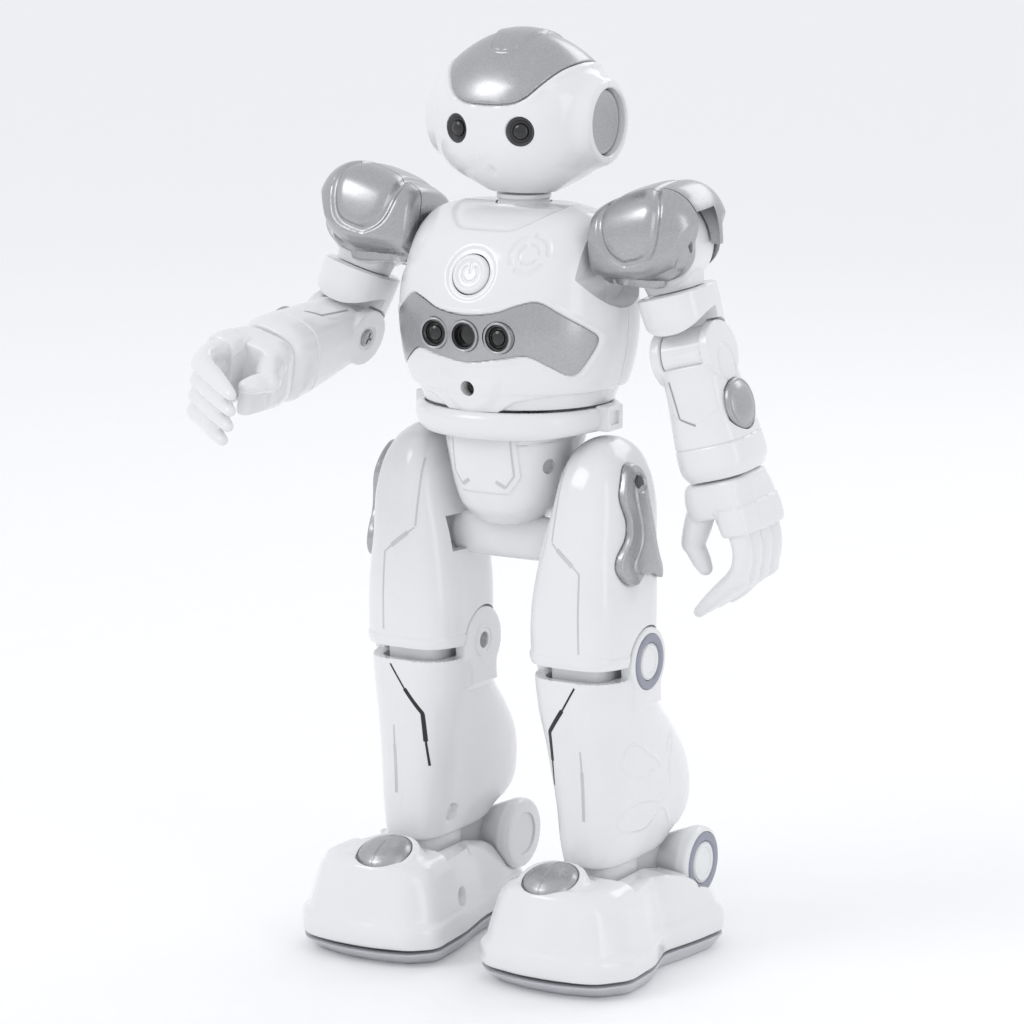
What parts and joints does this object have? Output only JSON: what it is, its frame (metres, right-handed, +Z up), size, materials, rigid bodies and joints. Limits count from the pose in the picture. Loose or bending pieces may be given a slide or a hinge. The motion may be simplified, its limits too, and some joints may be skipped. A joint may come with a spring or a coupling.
{
  "type": "toy robot",
  "caption": "Walking humanoid toy robot with a turning head, jointed arms ending in curled grasping hands, and legs that shuffle on wide wheeled feet.",
  "frame": {"origin": "on the floor, under the middle of the box round the standing robot", "axes": "+Z up, -Y the way the robot faces, +X to the robot's own left"},
  "size_m": [0.1478, 0.1176, 0.262],
  "materials": {
    "shell_white": "glossy white moulded plastic",
    "trim_silver": "silver metallic paint with a fine flake",
    "ring_grey": "satin grey-blue plastic",
    "sole_grey": "satin light grey plastic",
    "lens_black": "glossy black",
    "board_green": "solder-masked board",
    "battery_blue": "shrink-wrapped cells",
    "motor_grey": "cast housing",
    "axle_steel": "turned",
    "tyre_rubber": "matte"
  },
  "bodies": {
    "torso": {"torso_front_shell": "shell_white", "torso_back_shell": "shell_white", "chest_band": "trim_silver", "battery_cover": "shell_white", "lens_right": "lens_black", "lens_center": "lens_black", "lens_left": "lens_black", "belly_sensor": "lens_black", "main_board": "board_green", "battery_pack": "battery_blue", "speaker": "motor_grey", "neck_post": "shell_white", "waist_band": "shell_white", "pelvis_shell": "shell_white", "leg_gearbox": "motor_grey", "hip_yoke": "shell_white"},
    "head": {"face_shell": "shell_white", "head_back_shell": "shell_white", "crown_panel": "trim_silver", "ear_disc_left": "trim_silver", "ear_disc_right": "trim_silver", "eye_left": "lens_black", "eye_right": "lens_black"},
    "power_button": {"power_button": "shell_white"},
    "shoulder_left": {"shoulder_front_cover_left": "trim_silver", "shoulder_rear_cover_left": "trim_silver", "shoulder_axle_left": "axle_steel"},
    "arm_head_left": {"arm_head_left": "shell_white"},
    "upper_arm_left": {"upper_arm_left": "shell_white"},
    "forearm_left": {"forearm_left": "shell_white", "forearm_badge_left": "trim_silver"},
    "hand_left": {"hand_left": "shell_white"},
    "thigh_left": {"thigh_shell_left": "shell_white", "thigh_ornament_left": "trim_silver"},
    "shin_left": {"shin_shell_left": "shell_white", "knee_ring_left": "ring_grey", "ankle_block_left": "shell_white", "ankle_ring_left": "ring_grey"},
    "foot_left": {"foot_shell_left": "shell_white", "foot_sole_left": "sole_grey", "toe_dome_left": "trim_silver"},
    "wheel_left": {"drive_wheel_left": "tyre_rubber"},
    "shoulder_right": {"shoulder_front_cover_right": "trim_silver", "shoulder_rear_cover_right": "trim_silver", "shoulder_axle_right": "axle_steel"},
    "arm_head_right": {"arm_head_right": "shell_white"},
    "upper_arm_right": {"upper_arm_right": "shell_white"},
    "forearm_right": {"forearm_right": "shell_white", "forearm_badge_right": "trim_silver"},
    "hand_right": {"hand_right": "shell_white"},
    "thigh_right": {"thigh_shell_right": "shell_white", "thigh_ornament_right": "trim_silver"},
    "shin_right": {"shin_shell_right": "shell_white", "knee_ring_right": "ring_grey", "ankle_block_right": "shell_white", "ankle_ring_right": "ring_grey"},
    "foot_right": {"foot_shell_right": "shell_white", "foot_sole_right": "sole_grey", "toe_dome_right": "trim_silver"},
    "wheel_right": {"drive_wheel_right": "tyre_rubber"}
  },
  "joints": [
    {"name": "head_turn", "type": "hinge", "parent": "torso", "child": "head", "pos_m": [-0.003, 0.0238, 0.217], "axis": [0, 0, 1], "range_deg": [-60, 60]},
    {"name": "power_button_press", "type": "slide", "parent": "torso", "child": "power_button", "axis": [0, 0.9397, -0.342], "range_m": [0, 0.0012], "stiffness_N_per_m": 250},
    {"name": "shoulder_swing_left", "type": "hinge", "parent": "torso", "child": "shoulder_left", "pos_m": [0.043, 0.0208, 0.206], "axis": [-1, 0, 0], "range_deg": [-40, 155]},
    {"name": "arm_lift_left", "type": "hinge", "parent": "shoulder_left", "child": "arm_head_left", "pos_m": [0.043, 0.0208, 0.206], "axis": [0, -0.9962, -0.0872], "range_deg": [-3, 12]},
    {"name": "sleeve_turn_left", "type": "hinge", "parent": "arm_head_left", "child": "upper_arm_left", "pos_m": [0.04818, 0.02248, 0.18675], "axis": [0.2588, 0.0842, -0.9622], "range_deg": [-30, 30]},
    {"name": "elbow_left", "type": "hinge", "parent": "upper_arm_left", "child": "forearm_left", "pos_m": [0.05128, 0.02349, 0.17521], "axis": [-0.9659, 0.0226, -0.2578], "range_deg": [0, 70]},
    {"name": "wrist_left", "type": "hinge", "parent": "forearm_left", "child": "hand_left", "pos_m": [0.06008, 0.02636, 0.14249], "axis": [0.2588, 0.0842, -0.9622], "range_deg": [-90, 90]},
    {"name": "hip_left", "type": "hinge", "parent": "torso", "child": "thigh_left", "pos_m": [0.024, 0.0208, 0.138], "axis": [1, 0, 0], "range_deg": [-3, 3]},
    {"name": "knee_left", "type": "hinge", "parent": "thigh_left", "child": "shin_left", "pos_m": [0.024, 0.0208, 0.088], "axis": [1, 0, 0], "range_deg": [0, 7]},
    {"name": "ankle_left", "type": "hinge", "parent": "shin_left", "child": "foot_left", "pos_m": [0.027, 0.0468, 0.024], "axis": [1, 0, 0], "range_deg": [-3, 3]},
    {"name": "wheel_turn_left", "type": "hinge", "parent": "foot_left", "child": "wheel_left", "pos_m": [0.024, 0.0068, 0.0055], "axis": [1, 0, 0], "continuous": true},
    {"name": "shoulder_swing_right", "type": "hinge", "parent": "torso", "child": "shoulder_right", "pos_m": [-0.049, 0.0208, 0.206], "axis": [-1, 0, 0], "range_deg": [-42, 138]},
    {"name": "arm_lift_right", "type": "hinge", "parent": "shoulder_right", "child": "arm_head_right", "pos_m": [-0.049, 0.0208, 0.206], "axis": [0, 0.9781, -0.2079], "range_deg": [-3, 12]},
    {"name": "sleeve_turn_right", "type": "hinge", "parent": "arm_head_right", "child": "upper_arm_right", "pos_m": [-0.05451, 0.0168, 0.18719], "axis": [-0.2756, -0.1999, -0.9403], "range_deg": [-30, 30]},
    {"name": "elbow_right", "type": "hinge", "parent": "upper_arm_right", "child": "forearm_right", "pos_m": [-0.05782, 0.0144, 0.17591], "axis": [-0.9613, 0.0573, 0.2696], "range_deg": [-68, 2]},
    {"name": "wrist_right", "type": "hinge", "parent": "forearm_right", "child": "hand_right", "pos_m": [-0.06133, -0.01898, 0.17049], "axis": [-0.1033, -0.9818, -0.1595], "range_deg": [-90, 90]},
    {"name": "hip_right", "type": "hinge", "parent": "torso", "child": "thigh_right", "pos_m": [-0.03, 0.0208, 0.138], "axis": [1, 0, 0], "range_deg": [-3, 3]},
    {"name": "knee_right", "type": "hinge", "parent": "thigh_right", "child": "shin_right", "pos_m": [-0.03, 0.0208, 0.088], "axis": [1, 0, 0], "range_deg": [0, 7]},
    {"name": "ankle_right", "type": "hinge", "parent": "shin_right", "child": "foot_right", "pos_m": [-0.033, 0.0468, 0.024], "axis": [1, 0, 0], "range_deg": [-3, 3]},
    {"name": "wheel_turn_right", "type": "hinge", "parent": "foot_right", "child": "wheel_right", "pos_m": [-0.03, 0.0068, 0.0055], "axis": [1, 0, 0], "continuous": true}
  ],
  "couplings": [
    {"joint": "hip_right", "follows": "hip_left", "ratio": -1},
    {"joint": "ankle_left", "follows": "hip_left", "ratio": -1},
    {"joint": "ankle_right", "follows": "hip_left", "ratio": 1}
  ]
}
